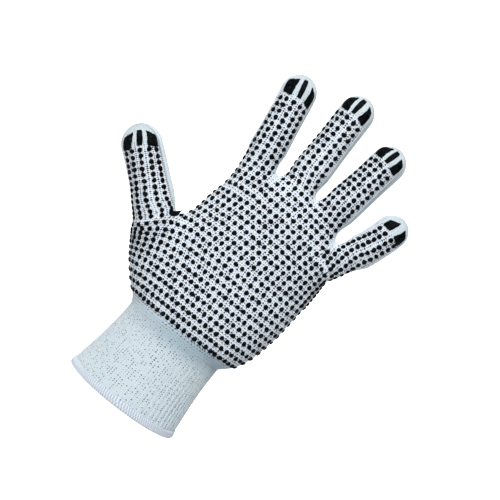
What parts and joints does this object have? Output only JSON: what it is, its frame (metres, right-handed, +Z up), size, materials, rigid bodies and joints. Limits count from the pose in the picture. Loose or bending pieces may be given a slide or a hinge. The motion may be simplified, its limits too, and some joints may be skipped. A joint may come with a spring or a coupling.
{
  "type": "cotton work glove",
  "caption": "Knitted cotton work glove for the left hand, worn full, with a ribbed cuff and rubbery grip patches on the fingertips.",
  "frame": {"origin": "the middle of the wrist opening, level with the cuff's hem", "axes": "+Z up the hand to the fingertips, -Y the way the palm faces, -X towards the thumb"},
  "size_m": [0.1795, 0.0528, 0.2448],
  "materials": {
    "knit_white": "matte string knit",
    "rib_grey": "matte ribbed knit",
    "hem_yarn": "matte overlocked yarn",
    "pvc_black": "slightly rough moulded PVC"
  },
  "bodies": {
    "root": {"palm_knit": "knit_white", "thumb_knit": "knit_white", "index_finger_knit": "knit_white", "middle_finger_knit": "knit_white", "ring_finger_knit": "knit_white", "little_finger_knit": "knit_white", "wrist_rib": "rib_grey", "cuff_hem": "hem_yarn", "thumb_patch_outer": "pvc_black", "thumb_patch_mid": "pvc_black", "thumb_patch_inner": "pvc_black", "index_finger_patch_outer": "pvc_black", "index_finger_patch_mid": "pvc_black", "index_finger_patch_inner": "pvc_black", "middle_finger_patch_outer": "pvc_black", "middle_finger_patch_mid": "pvc_black", "middle_finger_patch_inner": "pvc_black", "ring_finger_patch_outer": "pvc_black", "ring_finger_patch_mid": "pvc_black", "ring_finger_patch_inner": "pvc_black", "little_finger_patch_outer": "pvc_black", "little_finger_patch_inner": "pvc_black", "thumb_crotch_patch": "pvc_black"}
  },
  "joints": []
}
